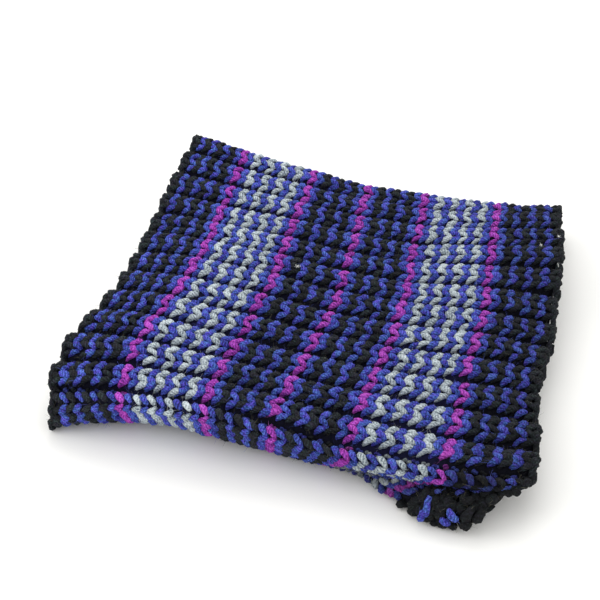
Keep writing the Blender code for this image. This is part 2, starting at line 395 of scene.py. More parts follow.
    def section(self, course: float) -> tuple[Array, Array, Array]:
        """Lay out one section of the tube.

        Args:
            course: The section's course.

        Returns:
            The cloth between the ribs, its outward direction, and the ribs' height over it, at every rib.
        """
        lie, ribs, step = self.lie, self.ribs, self.slope_step
        knots, ys, zs = self.knots(course)
        y = self.closed(knots, ys, ribs)
        z = np.maximum(self.closed(knots, zs, ribs), 0)
        under = ribs % self.gauge.ribs
        flat = (under >= lie.flat_from) | (under <= lie.flat_to - self.gauge.ribs)
        z[flat] = 0.0
        along_y = self.closed(knots, ys, ribs + step) - self.closed(knots, ys, ribs - step)
        along_z = self.closed(knots, zs, ribs + step) - self.closed(knots, zs, ribs - step)
        along_z[flat] = 0.0
        length = np.hypot(along_y, along_z)
        outward = np.stack([np.zeros(len(ribs)), along_z / length, -along_y / length], axis=1)
        x = (course - self.gauge.courses / 2) * self.gauge.course / MM + self.shift(course, ribs)
        base = np.stack([x - lie.middle_x, y - lie.middle_y, z], axis=1) * MM
        offsets = (ribs + 0.5) % 1.0 - 0.5
        offsets = offsets - np.where(np.abs(ribs - lie.fold_rib) < 0.5, self.fold_turn(course), 0)
        offsets = np.clip(offsets * self.narrowed(course, ribs), -0.5, 0.5)
        height = self.gauge.rib_height * spline(*np.array(RIB_SHAPE).T, offsets)
        height = height * np.clip(np.abs(ribs - lie.crease) / lie.crease_reach, lie.crease_relief, 1)
        height = height * read_table(lie.end_relief, course)
        down = np.maximum(-outward[:, 2], 0)
        room = base[:, 2] / np.maximum(down * lie.floor_room, lie.least_slope)
        return base, outward, np.minimum(height, room)

    def read(self, grid: Array, course: Array, rib: Array) -> Array:
        """Read one of the grids between its points.

        Args:
            grid: The grid of values.
            course: Courses, of any shape.
            rib: Rib numbers, of the same shape.

        Returns:
            The values, with the courses' shape first.
        """
        u = np.clip((course - self.courses[0]) / self.course_step, 0, len(self.courses) - LAST_SPAN)
        v = np.clip((rib - self.ribs[0]) / self.rib_step, 0, len(self.ribs) - LAST_SPAN)
        i, j = u.astype(int), v.astype(int)
        du, dv = u - i, v - j
        if grid.ndim == 3:
            du, dv = du[..., None], dv[..., None]
        low = grid[i, j] * (1 - dv) + grid[i, j + 1] * dv
        high = grid[i + 1, j] * (1 - dv) + grid[i + 1, j + 1] * dv
        return low * (1 - du) + high * du

    def points(self, course: Array, rib: Array, lift: Array) -> Array:
        """Place points that stand out of the ribbed face by their lifts, in metres."""
        height = self.read(self.relief, course, rib) + lift
        return self.read(self.base, course, rib) + self.read(self.outward, course, rib) * height[..., None]

    def normals(self, course: Array, rib: Array) -> Array:
        """Find the unit vectors that stand on the ribbed face."""
        return unit(self.read(self.normal, course, rib))


# The values between which a noise texture mostly stays
NOISE_ENDS = {"From Min": 0.36, "From Max": 0.64}


class NodeGraph:
    """A small helper that adds and links the nodes of one material."""

    def __init__(self, name: str, roughness: float, specular: float) -> None:
        """Start a material.

        Args:
            name: The material's name.
            roughness: Its roughness.
            specular: Its specular level.
        """
        self.material = bpy.data.materials.new(name)
        self.material.use_nodes = True
        self.tree = self.material.node_tree
        self.shader = self.tree.nodes["Principled BSDF"]
        self.feed(self.shader, {"Roughness": roughness, "Specular IOR Level": specular})

    def feed(self, node: bpy.types.Node, inputs: Inputs) -> None:
        """Give a node's inputs their values, or link them to other nodes' sockets.

        Args:
            node: The node.
            inputs: A value or socket for each input.
        """
        for key, value in inputs.items():
            if isinstance(value, Socket):
                self.tree.links.new(value, node.inputs[key])
            else:
                node.inputs[key].default_value = value

    def add(self, kind: str, inputs: Inputs | None = None, **settings: object) -> bpy.types.Node:
        """Add a node.

        Args:
            kind: The node's type.
            inputs: Values or sockets for its inputs.
            **settings: Its properties.

        Returns:
            The node.
        """
        node = self.tree.nodes.new(kind)
        for key, value in settings.items():
            setattr(node, key, value)
        self.feed(node, inputs or {})
        return node

    def maths(self, operation: str, *values: object) -> Socket:
        """Add a maths node on values or sockets, and give its result's socket."""
        return self.add("ShaderNodeMath", dict(enumerate(values)), operation=operation).outputs[0]

    def mark(self, name: str) -> Socket:
        """Read an attribute of the mesh."""
        return self.add("ShaderNodeAttribute", attribute_name=name).outputs["Fac"]

    def ramp(self, value: Socket, stops: Sequence[tuple[float, Row]]) -> Socket:
        """Turn a value into a colour.

        Args:
            value: The value's socket.
            stops: Places and colours.

        Returns:
            The colour's socket.
        """
        node = self.add("ShaderNodeValToRGB", {"Fac": value})
        while len(node.color_ramp.elements) < len(stops):
            node.color_ramp.elements.new(0.5)
        for element, (place, colour) in zip(node.color_ramp.elements, stops):
            element.position = place
            element.color = colour
        return node.outputs["Color"]

    def noise(self, scale: float, detail: float, vector: Socket) -> Socket:
        """Add a noise texture, stretched to run from 0 to 1."""
        noise = self.add("ShaderNodeTexNoise", {"Scale": scale, "Detail": detail, "Vector": vector})
        return self.add("ShaderNodeMapRange", {**NOISE_ENDS, "Value": noise.outputs["Fac"]}).outputs["Result"]

    def blend(self, parts: Iterable[tuple[Socket, float]], middle: float) -> Socket:
        """Add up values that each run from 0 to 1, by weight.

        Args:
            parts: Each value with its weight.
            middle: The result where every value is at a half.

        Returns:
            The result's socket.
        """
        parts = list(parts)
        total = middle - sum(weight for _, weight in parts) / 2
        for value, weight in parts:
            total = self.maths("ADD", self.maths("MULTIPLY", value, weight), total)
        return total

    def mapped(self, vector: Socket, scale: Row) -> Socket:
        """Stretch coordinates along each axis."""
        return self.add("ShaderNodeMapping", {"Scale": scale, "Vector": vector}).outputs["Vector"]

    def bump(self, height: Socket, distance: float, strength: float) -> None:
        """Give the shader a bump, with its distance in metres."""
        node = self.add("ShaderNodeBump", {"Distance": distance, "Strength": strength, "Height": height})
        self.feed(self.shader, {"Normal": node.outputs["Normal"]})


@dataclass(frozen=True)
class PlyPattern:
    """The pattern of plied yarn: plies that wind round it, heather, fine fibres, and slow patches of tone.

    The weights in the colour and in the bump are those of plies, heather, fibres, patches and the strand's
    own tone, in this order.
    """

    turns: float = 4.6
    plies: float = 4.0
    fibre_scale: float = 8.0
    fibre_stretch: Row = (1, 7, 1)
    heather_scale: float = 1300.0
    patch_scale: float = 170.0
    drift_scale: float = 420.0
    drift_stretch: Row = (1, 1.1, 1.3)
    colour_weights: Row = (0.32, 0.48, 0.22, 0.2, 0.22)
    bump_weights: Row = (1, 0.9, 0.5)
    stops: Row = (0.12, 0.5, 0.9)
    hue: float = 0.49
    bump: float = 0.4 * MM


@dataclass(frozen=True)
class YarnLook:
    """How a yarn looks: its shaded, plain and lit colours, its drift of hue and its loose fibres.

    The trim says how much shorter than usual its pieces can be, in courses.
    """

    dark: Row
    plain: Row
    light: Row
    fuzz: Row
    fibres: int
    trim: float = 0.0
    drift: float = 0.04
    sheen: float = 0.30
    roughness: float = 0.85
    fuzz_shade: float = 0.35
    pattern: PlyPattern = PlyPattern()

    def material(self, yarn: Yarn) -> Material:
        """Make the plied yarn's material.

        Args:
            yarn: Which yarn.

        Returns:
            The material.
        """
        graph, pattern = NodeGraph(f"{yarn.value}_yarn", self.roughness, 0.25), self.pattern
        uv = graph.add("ShaderNodeUVMap", uv_map="strand").outputs["UV"]
        place = graph.add("ShaderNodeTexCoord").outputs["Object"]
        split = graph.add("ShaderNodeSeparateXYZ", {0: uv}).outputs
        along = graph.maths("MULTIPLY", split["X"], pattern.turns)
        wind = graph.maths("ADD", along, graph.maths("MULTIPLY", split["Y"], pattern.plies))
        wave = graph.maths("SINE", graph.maths("MULTIPLY", wind, TURN))
        plies = graph.maths("MULTIPLY_ADD", wave, 0.5, 0.5)
        fibre = graph.noise(pattern.fibre_scale, 4, graph.mapped(uv, pattern.fibre_stretch))
        heather = graph.noise(pattern.heather_scale, 2, place)
        patch = graph.noise(pattern.patch_scale, 2, place)
        drift = graph.noise(pattern.drift_scale, 2, graph.mapped(place, pattern.drift_stretch))
        parts = (plies, heather, fibre, patch, graph.mark("tone"))
        # The plies' part of this colour mix is painted shade in the grooves between plies; heather, fibres,
        # patches and tone are the yarn's own
        mix = graph.blend(zip(parts, pattern.colour_weights), 0.5)
        tint = {
            "Hue": graph.blend(((drift, self.drift),), pattern.hue),
            # Painted light and shade: the strand's shade mark scales its colour's value
            "Value": graph.mark("shade"),
            "Color": graph.ramp(mix, list(zip(pattern.stops, (self.dark, self.plain, self.light)))),
        }
        shader = {
            "Base Color": graph.add("ShaderNodeHueSaturation", tint).outputs["Color"],
            "Sheen Weight": self.sheen,
            "Sheen Roughness": 0.55,
            "Sheen Tint": self.light,
        }
        graph.feed(graph.shader, shader)
        graph.bump(graph.blend(zip(parts, pattern.bump_weights), 0), pattern.bump, 1)
        return graph.material

    def fuzz_material(self, yarn: Yarn) -> Material:
        """Make the loose fibres' material.

        Args:
            yarn: Which yarn they stand on.

        Returns:
            The material.
        """
        graph = NodeGraph(f"{yarn.value}_fuzz", 0.9, 0.2)
        shaded = tuple(self.fuzz_shade * value for value in self.fuzz[:3]) + (1,)
        colour = graph.ramp(graph.mark("tone"), ((0, shaded), (1, self.fuzz)))
        graph.feed(graph.shader, {"Base Color": colour})
        return graph.material


LOOKS: dict[Yarn, YarnLook] = {
    Yarn.BLUE: YarnLook(
        dark=(0.008, 0.008, 0.1, 1), plain=(0.044, 0.044, 0.44, 1), light=(0.15, 0.17, 0.84, 1),
        fuzz=(0.16, 0.2, 0.72, 1), fibres=8800, trim=0.2,
    ),
    Yarn.BLACK: YarnLook(
        dark=(0.003, 0.003, 0.004, 1), plain=(0.01, 0.012, 0.017, 1), light=(0.036, 0.046, 0.06, 1),
        fuzz=(0.17, 0.16, 0.11, 1), fibres=6800, drift=0.2, sheen=0.08,
    ),
    Yarn.MAGENTA: YarnLook(
        dark=(0.11, 0.008, 0.16, 1), plain=(0.44, 0.045, 0.5, 1), light=(0.76, 0.15, 0.8, 1),
        fuzz=(0.62, 0.2, 0.66, 1), fibres=1600, trim=0.08,
    ),
    Yarn.GREY: YarnLook(
        dark=(0.11, 0.14, 0.2, 1), plain=(0.5, 0.57, 0.6, 1), light=(0.8, 0.88, 0.92, 1),
        fuzz=(0.72, 0.76, 0.7, 1), fibres=3400, trim=0.05, drift=0.03,
    ),
}


@dataclass(frozen=True)
class Form:
    """A small straight form, of which many bent copies make one piece."""

    def mesh(self) -> MeshData:
        """Make the form: its points, its faces, and a place along and round for each corner."""
        raise NotImplementedError

    def copies(self, name: str, placed: Array, marks: Array, material: Material) -> Item:
        """Join placed copies in one object.

        Args:
            name: The object's name.
            placed: The points of each copy.
            marks: A tone and a share of painted light and shade for each copy.
            material: Its material.

        Returns:
            The object.
        """
        _, faces, corners = self.mesh()
        count, size = placed.shape[:2]
        loops = np.array([index for face in faces for index in face])
        starts = np.concatenate([[0], np.cumsum([len(face) for face in faces])[:-1]])
        every = np.arange(count)[:, None]
        marks = marks.astype(np.float32)
        mesh = bpy.data.meshes.new(name)
        mesh.vertices.add(count * size)
        mesh.vertices.foreach_set("co", np.ascontiguousarray(placed, np.float32).ravel())
        mesh.loops.add(count * len(loops))
        mesh.loops.foreach_set("vertex_index", (loops[None, :] + every * size).ravel().astype(np.int32))
        mesh.polygons.add(count * len(faces))
        firsts = (starts[None, :] + every * len(loops)).ravel()
        mesh.polygons.foreach_set("loop_start", firsts.astype(np.int32))
        mesh.update(calc_edges=True)
        spread = np.tile(np.array(corners, np.float32), (count, 1))
        spread[:, 0] += np.repeat(marks[:, 0] * PATTERN_SPREAD, len(loops))
        mesh.uv_layers.new(name="strand").data.foreach_set("uv", spread.ravel())
        for values, attribute in zip(marks.T, ("tone", "shade")):
            layer = mesh.attributes.new(attribute, "FLOAT", "POINT")
            layer.data.foreach_set("value", np.repeat(values, size))
        mesh.shade_smooth()
        log.info("%s: %d copies", name, count)
        return show(name, mesh, material)


@dataclass(frozen=True)
class Strand(Form):
    """A short piece of plied yarn: rings round a straight axis, thinner at the ends."""

    sides: int = 8
    rings: int = 7
    ends: float = 0.50
    fullness: float = 0.45
    plies: float = 0.09
    winds: float = 1.4

    def mesh(self) -> MeshData:
        """Make the straight piece.

        Returns:
            Its points (along from 0 to 1, and two across), its faces and a place for each corner.
        """
        work = bmesh.new()
        bmesh.ops.create_cone(
            work, cap_ends=True, segments=self.sides, radius1=1, radius2=1, depth=1, matrix=Matrix.Identity(4)
        )
        long_edges = [e for e in work.edges if abs(e.verts[0].co.z - e.verts[1].co.z) > 0.5]
        bmesh.ops.subdivide_edges(work, edges=long_edges, cuts=self.rings - 2, use_grid_fill=True)
        bmesh.ops.recalc_face_normals(work, faces=work.faces[:])
        work.verts.index_update()
        points = np.array([(v.co.z + 0.5, v.co.x, v.co.y) for v in work.verts])
        faces, corners = [], []
        for face in work.faces:
            faces.append(tuple(v.index for v in face.verts))
            rounds = [(math.atan2(v.co.x, v.co.y) / TURN) % 1.0 for v in face.verts]
            if max(rounds) - min(rounds) > 0.5:
                rounds = [r + 1.0 if r < 0.5 else r for r in rounds]
            corners.extend((v.co.z + 0.5, r) for v, r in zip(face.verts, rounds))
        work.free()
        return points, faces, corners

    def thickness(self, along: Array, points: Array) -> Array:
        """Tell how thick the strand is, with its thin ends and the plies that wind round it.

        Args:
            along: Each point's place along the strand, from 0 to 1.
            points: The straight piece's points.

        Returns:
            A share of the full thickness at each point.
        """
        swell = self.ends + (1 - self.ends) * np.sin(np.pi * np.clip(along, 0, 1)) ** self.fullness
        angle = np.arctan2(points[:, 1], points[:, 2])
        return swell * (1 + self.plies * np.cos(2 * angle - TURN * self.winds * points[:, 0]))


@dataclass(frozen=True)
class Fibre(Form):
    """A loose fibre: a thin flat ribbon."""

    cuts: int = 2

    def mesh(self) -> MeshData:
        """Make the straight ribbon.

        Returns:
            Its points (along from 0 to 1, across from -1 to 1, and 0), its faces and a place for each corner.
        """
        work = bmesh.new()
        bmesh.ops.create_grid(work, x_segments=self.cuts, y_segments=1, size=0.5)
        work.verts.index_update()
        points = np.array([(v.co.x + 0.5, v.co.y * 2, 0) for v in work.verts])
        faces = [tuple(v.index for v in face.verts) for face in work.faces]
        corners = [(v.co.x + 0.5, 0.5) for face in work.faces for v in face.verts]
        work.free()
        return points, faces, corners


@dataclass(frozen=True)
class Path:
    """The course that one piece of yarn takes within its stitch.

    Offsets are in ribs from the rib's middle and in courses from the row's middle, and lifts are in metres
    over the ribbed face.
    """

    start_rib: float = 0.0
    end_rib: float = 0.0
    start_course: float = -0.68
    end_course: float = 0.60
    start_lift: float = -2.5 * MM
    end_lift: float = -1.8 * MM
    bulge: float = 1.5 * MM
    ease: float = 0.25
    width: float = 1.64 * MM
    height: float = 1.40 * MM
    # How bright the strand is drawn; the painted light and shade of its place multiplies it
    shade: float = 1.0

    def offset(self, eased: Array) -> Array:
        """Read the offset from the rib's middle, from 0 at the path's start to 1 at its end."""
        return self.start_rib + (self.end_rib - self.start_rib) * eased


# The four legs of a rib's two wales, from the back of the rib to its front
LEGS = (
    Path(-0.375, -0.25),
    Path(-0.01, -0.205, -0.7, 0.52),
    Path(0.022, 0.192, -0.76, 0.62),
    Path(0.325, 0.228, -0.82, 0.6),
)

# The same in the rib that turns over the front fold, whose back wale faces forward
FOLD_LEGS = (Path(-0.235, 0), Path(0.265, 0.045), Path(0.31, 0.43), Path(0.6, 0.48))

# The same where the fold's rib has rolled back, at the bind-off end
BACK_LEGS = (Path(-0.4, -0.11), Path(0.215, -0.06), Path(0.26, 0.4), Path(0.56, 0.44))

# The rows over which the fold's rib rolls forward: (row, share)
ROLL_ROWS: Table = ((20, 0), (36, 1))

# The purl bumps of one stitch on the cloth's wrong side, which shows where the corner has slipped
BUMP = Path(bulge=1.0 * MM, ease=0, height=1.8 * MM)
BUMPS = tuple(
    replace(
        BUMP, start_rib=rib - 0.08, end_rib=rib + 0.06, start_course=course, end_course=course + 0.62,
        start_lift=lift * MM, end_lift=lift * MM, width=width * MM,
    )
    for rib, course, lift, width in (
        (-0.42, -0.3, 0, 2.5), (-0.22, -0.34, 0, 2.4), (-0.02, -0.26, 0, 2.5), (0.18, -0.32, 0, 2.3),
        (0.38, -0.28, 0, 2.5), (-0.32, 0.15, -0.8, 2.4), (-0.12, 0.2, -0.8, 2.4), (0.08, 0.15, -0.8, 2.4),
        (0.28, 0.2, -0.8, 2.4),
    )
)

# A purl stitch in the furrow between two ribs, which lies across it, drawn at half brightness as painted
# shade of the furrow
PURL = Path(bulge=0.5 * MM, ease=0.5, width=1.25 * MM, height=1.0 * MM, shade=0.5)
PURLS = tuple(
    replace(
        PURL, start_rib=start, end_rib=end, start_course=course, end_course=course + 0.19,
        start_lift=lift * MM, end_lift=end_lift * MM,
    )
    for start, end, course, lift, end_lift in (
        (0.425, 0.515, -0.24, -0.3, 0.1),
        (0.485, 0.575, 0.05, 0.1, -0.3),
    )
)

# Purl stitches in the stretched furrow at the back fold
BACK_PURL = Path(
    start_lift=0.2 * MM, end_lift=0.2 * MM, bulge=0.8 * MM, width=1.6 * MM, height=1.2 * MM, shade=0.8
)
BACK_PURLS = tuple(
    replace(BACK_PURL, start_rib=start, end_rib=end, start_course=course, end_course=course + 1.1)
    for start, end, course in ((0.385, 0.44, -0.6), (0.5, 0.445, -0.5), (0.525, 0.58, -0.6))
)

# The two strands of an edge's loop, with offsets in ribs from the loop's start
BIND_OFF_LOOP = (
    Path(-0.03, 0.3, -0.7, -0.5, -1.0 * MM, -1.7 * MM, 1.0 * MM, width=1.35 * MM, height=1.2 * MM),
    Path(-0.03, 0.3, -0.36, -0.58, -3.0 * MM, -2.5 * MM, 0.5 * MM, width=1.5 * MM, height=1.3 * MM),
)
CAST_ON_LOOP = (
    Path(-0.02, 0.27, 0.42, 0.72, -1.2 * MM, -2.2 * MM, 1.0 * MM),
    Path(0.02, 0.29, 0.8, 0.5, -3.4 * MM, -2.8 * MM, 0.4 * MM),
)

# Single strands that show at the slipped corner: course and rib, end course and rib, width in mm, shade (how
# bright each is drawn; above one it makes up for the corner's painted shade)
CORNER_STITCHES: dict[Yarn, Table] = {
    Yarn.BLUE: (
        (48.2, 14.02, 47.3, 13.82, 2, 2.8), (48.4, 14.14, 47.6, 13.94, 1.9, 2.6),
        (49.7, 13.87, 51.2, 13.95, 1.9, 3), (49.6, 13.97, 51, 14.06, 1.9, 2.8),
        (47.4, 13.74, 47.8, 13.7, 1.3, 1.3), (49.3, 13.7, 49.7, 13.62, 1.3, 1.6),
        (50.6, 13.62, 51.3, 13.58, 1.3, 1.5),
    ),
    Yarn.BLACK: (
        (50, 14.24, 50.5, 14.27, 2, 1.1), (50.8, 14.27, 51.3, 14.22, 2.3, 1),
        (51.6, 14.2, 52, 14.16, 2, 1.2), (52.3, 14.13, 52.7, 14.02, 2.3, 1),
        (52.7, 13.96, 53.1, 13.88, 2, 1.1), (53, 13.82, 53.2, 13.7, 2.2, 1),
        (53, 13.64, 53.3, 13.56, 2, 1.2), (52.9, 13.5, 53.2, 13.38, 2.1, 1),
        (52.8, 13.3, 53, 13.2, 1.9, 1.1), (51.9, 13.72, 52.3, 13.62, 2, 1.1),
        (51.6, 13.96, 51.9, 13.86, 2.1, 1.2), (50.9, 13.84, 51.3, 13.76, 1.9, 1),
    ),
}


@dataclass(frozen=True)
class PaintedShading:
    """Painted light and shade on the yarn over the tube.

    Tables of (row or rib, share of its own brightness). Rows near the bind-off end are brightened as
    painted light, and rows near the cast-on end are darker. The slipped corner, the rows where the fold's
    rib rolls under and the hollow beside the corner are darkened as painted shade. The corner's shares by
    rib hold where its share by row is one.
    """

    # Painted light near the bind-off end; darker near the cast-on end
    rows: Table = ((0, 1.14), (10, 1.14), (20, 1), (43, 1), (47, 0.76), (53, 0.72))
    # Painted shade at the slipped corner: it fades in over these rows, at the shares by rib below
    corner_rows: Table = ((33, 0), (37, 1))
    corner_ribs: Table = ((12, 1), (13, 0.92), (14, 0.43), (17, 0.45), (19, 1))
    fold_rib: int = 13
    # Painted shade on the fold's rib, over the rows where it rolls under
    fold: Table = ((44.4, 1), (45, 0.5), (46, 0.3), (49.5, 0.28), (51, 0.95), (53, 0.9))
    hollow_ribs: tuple[int, int] = (14, 16)
    # Painted shade in the hollow beside the corner, on the ribs above
    hollow: Table = ((34, 1), (35.5, 0.45), (40.5, 0.35), (41.6, 1))

    def at(self, rows: Array, ribs: Array) -> Array:
        """Read the painted light and shade.

        Args:
            rows: Rows of the stitches.
            ribs: Their ribs.

        Returns:
            A share of the yarn's own brightness at each.
        """
        first, last = self.hollow_ribs
        share = read_table(self.rows, rows)
        share = share * np.where(ribs == self.fold_rib, read_table(self.fold, rows), 1)
        share = share * np.where((ribs >= first) & (ribs <= last), read_table(self.hollow, rows), 1)
        return share * (1 - read_table(self.corner_rows, rows) * (1 - read_table(self.corner_ribs, ribs)))


@dataclass
class Unevenness:
    """Slow waves by which the ribs and rows of a hand-knit cloth stray, the same for every yarn."""

    ribs: int
    seed: int = 11
    course_size: float = 0.16
    rib_size: float = 0.020
    lift_size: float = 0.40 * MM
    lengths: Row = (23, 11, 5.3)
    calm: float = 1.5
    phases: Array = field(init=False)

    def __post_init__(self) -> None:
        """Draw the waves' phases."""
        rng = np.random.default_rng(self.seed)
        self.phases = rng.uniform(0, TURN, (3, len(self.lengths), self.ribs + 3))

    def at(self, course: Array, rib: Array) -> list[Array]:
        """Read the waves.

        Args:
            course: Courses.
            rib: Rib numbers of the same shape.

        Returns:
            How far the stitch strays along the courses, across the ribs and outwards.
        """
        number = np.clip(np.round(rib).astype(int), 0, self.ribs + 2)
        strays = []
        for kind, size in enumerate((self.course_size, self.rib_size, self.lift_size)):
            total = np.zeros(course.shape)
            for k, length in enumerate(self.lengths):
                total = total + np.sin(TURN * course / length + self.phases[kind, k, number]) / (1 + k)
            strays.append(total * size / self.calm)
        return strays


@dataclass
class StitchField:
    """Pieces of yarn that follow the same few paths at every stitch of a patch of the cloth.

    The stray sizes are how far a single piece wanders: along the courses, in its length, across the ribs, in
    its lift, and in its thickness.
    """

    cloth: Cloth
    strand: Strand
    unevenness: Unevenness
    seed: int
    jitter: float = 1.0
    headroom: float = 0.0
    trim: float = 0.0
    course_stray: float = 0.06
    length_stray: float = 0.09
    rib_stray: float = 0.010
    lift_stray: float = 0.15 * MM
    width_stray: float = 0.08
    lumps: float = 0.13 * MM
    furrow_from: float = 0.42
    # Painted light and shade of the stitches over the tube
    painted_shading: PaintedShading = PaintedShading()

    def run(
        self, path: Path, early: Path | None, row: Array, rib: Array, draws: tuple[Array, Array]
    ) -> tuple[Array, Array, Array]:
        """Run a path through its stitches.

        Args:
            path: The path.
            early: The same path as it lies at the bind-off end, where it differs.
            row: The stitches' rows, as a column.
            rib: Their ribs, as a column.
            draws: What was drawn for each stitch: how it wanders, and how its ends are trimmed.

        Returns:
            Courses, ribs and lifts of the rings of every strand.
        """
        wander, trim = draws
        t = np.unique(np.round(self.strand.mesh()[0][:, 0], 4))[None, :]
        eased = t + path.ease * np.sin(TURN * t) / TURN
        start = path.start_course + trim[:, 0:1]
        course = row + 0.5 + start + (path.end_course - trim[:, 1:2] - start) * t
        along, across, out = self.unevenness.at(row, rib)
        course = course + along + wander[:, 0:1] * self.course_stray
        course = course + wander[:, 1:2] * self.length_stray * (t - 0.5)
        offset = path.offset(eased)
        if early:
            offset = early.offset(eased) + (offset - early.offset(eased)) * read_table(ROLL_ROWS, course)
        if abs(path.start_rib) < self.furrow_from:
            offset = offset / self.cloth.narrowed(course, rib + offset)
        lift = path.start_lift + (path.end_lift - path.start_lift) * t + path.bulge * np.sin(np.pi * t)
        lift = lift + np.minimum(out, self.headroom) + wander[:, 3:4] * self.lift_stray
        return course, rib + offset + across + wander[:, 2:3] * self.rib_stray, lift

    def place(
        self, rows: Sequence[float], ribs: Sequence[int], paths: Sequence[Path], early: Sequence[Path] = ()
    ) -> tuple[Array, Array]:
        """Lay a strand along each path at every stitch.

        Args:
            rows: Rows of the patch.
            ribs: Ribs of the patch.
            paths: Paths within a stitch.
            early: The same paths as they lie at the bind-off end, where they differ.

        Returns:
            The points of every strand, and a tone and a shade for each strand.
        """
        rng = np.random.default_rng(self.seed)
        points, _, _ = self.strand.mesh()
        along = np.round(points[:, 0], 4)
        rings = np.unique(along)
        ring_of = np.searchsorted(rings, along)
        swell = self.strand.thickness(rings[ring_of], points)
        row, rib = (part.reshape(-1, 1) for part in np.meshgrid(np.array(rows, float), ribs, indexing="ij"))
        count = len(row)
        groups, marks = [], []
        for path, other in zip(paths, early or [None] * len(paths)):
            wander = rng.normal(0, 1, (count, 6)) * self.jitter
            trim = rng.uniform(0, 1, (count, 2)) * self.trim
            course, spot, lift = self.run(path, other, row, rib, (wander, trim))
            centre = self.cloth.points(course, spot, lift)
            tangent = unit(np.gradient(centre, axis=1))
            side = unit(np.cross(self.cloth.normals(course, spot), tangent))
            normal = unit(np.cross(tangent, side))
            wide = path.width * (1.0 + wander[:, 4:5] * self.width_stray) * swell * points[:, 1]
            high = path.height * (1.0 + wander[:, 5:6] * self.width_stray) * swell * points[:, 2]
            placed = centre[:, ring_of] + side[:, ring_of] * wide[..., None]
            placed = placed + normal[:, ring_of] * high[..., None]
            placed = placed + rng.normal(0, self.lumps, placed.shape)
            sunk = np.maximum(FLOOR_GAP - placed[..., 2].min(axis=1), 0)
            groups.append(placed + sunk[:, None, None] * np.array((0, 0, 1)))
            # The strand's painted light and shade, from its path and its place on the tube
            shade = path.shade * self.painted_shading.at(row.ravel(), rib.ravel())
            marks.append(np.stack([rng.uniform(0, 1, count), shade], axis=1))
        return np.concatenate(groups), np.concatenate(marks)


@dataclass
class Fuzz:
    """Loose fibres that stand off the yarn."""

    material: Material
    count: int
    seed: int
    length: tuple[float, float] = (1.3 * MM, 3.4 * MM)
    width: float = 0.05 * MM
    form: Fibre = Fibre()
    scatter: float = 0.55
    rise: float = 0.25
    least_rise: float = -0.15
    curl: float = 0.5
    taper: float = 0.6

    def build(self, name: str, strands: Array) -> Item:
        """Grow the fibres on the strands of one piece.

        Args:
            name: The piece's name.
            strands: The points of every strand.

        Returns:
            The piece.
        """
        rng = np.random.default_rng(self.seed)
        chosen = rng.integers(0, len(strands), self.count)
        corner = rng.integers(0, strands.shape[1], self.count)
        root = strands[chosen, corner]
        away = unit(root - strands[chosen].mean(axis=1))
        way = away + rng.normal(0, self.scatter, (self.count, 3)) + np.array((0, 0, self.rise))
        way[:, 2] = np.maximum(way[:, 2], self.least_rise)
        way = unit(way)
        bend = unit(rng.normal(0, 1, (self.count, 3)))
        length = rng.uniform(*self.length, self.count)[:, None, None]
        points, _, _ = self.form.mesh()
        along = points[None, :, 0:1]
        side = unit(np.cross(way, bend))[:, None, :]
        thin = self.width * (1.0 - self.taper * along)
        placed = root[:, None, :] + way[:, None, :] * length * along
        placed = placed + bend[:, None, :] * length * self.curl * along**2
        placed = placed + side * thin * points[None, :, 1:2]
        placed[..., 2] = np.maximum(placed[..., 2], FLOOR_GAP)
        marks = np.stack([rng.uniform(0, 1, self.count), np.ones(self.count)], axis=1)
        return self.form.copies(name, placed, marks, self.material)


@dataclass(frozen=True)
class Side:
    """One side of the tube: its first and last rib, and how its stitches are made."""

    name: str
    first: int
    last: int
    strand: Strand
    paths: tuple[Path, ...]


